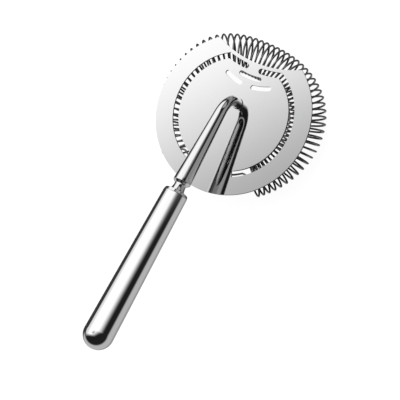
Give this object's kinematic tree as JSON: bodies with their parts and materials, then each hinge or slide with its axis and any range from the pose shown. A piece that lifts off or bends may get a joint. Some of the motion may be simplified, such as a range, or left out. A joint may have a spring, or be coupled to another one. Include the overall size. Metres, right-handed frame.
{
  "type": "hawthorne strainer",
  "caption": "Bar strainer: notched, slotted disc with a coil spring under its rim and a bent stem carrying a hollow round grip.",
  "frame": {"origin": "centre of the disc on its underside, the face that seats at a glass rim", "axes": "+Z towards the stem's side, +Y towards the pouring notch, grip towards -Y, +X to the right when seen from the grip's end"},
  "size_m": [0.0897, 0.1754, 0.0657],
  "materials": {
    "polished_plate": "mirror-polished stainless steel sheet",
    "polished_handle": "mirror-polished stainless steel",
    "spring_wire": "bright drawn stainless spring wire",
    "weld": "dressed and polished weld",
    "stud_steel": "turned stainless steel"
  },
  "bodies": {
    "strainer": {"strainer_plate": "polished_plate", "left_spring_anchor": "polished_plate", "right_spring_anchor": "polished_plate", "handle_stem": "polished_handle", "stem_foot_weld": "weld", "stem_back_weld": "weld", "neck_collar": "polished_handle", "grip_stud": "stud_steel", "grip_front_plug": "polished_handle", "grip_tube": "polished_handle", "grip_end_cap": "polished_handle"},
    "spring": {"coil_spring": "spring_wire"}
  },
  "joints": [
    {"name": "spring_squeeze", "type": "slide", "parent": "strainer", "child": "spring", "axis": [0, -1, 0], "range_m": [0, 0.003], "stiffness_N_per_m": 350, "deforming": ["coil_spring"]}
  ]
}
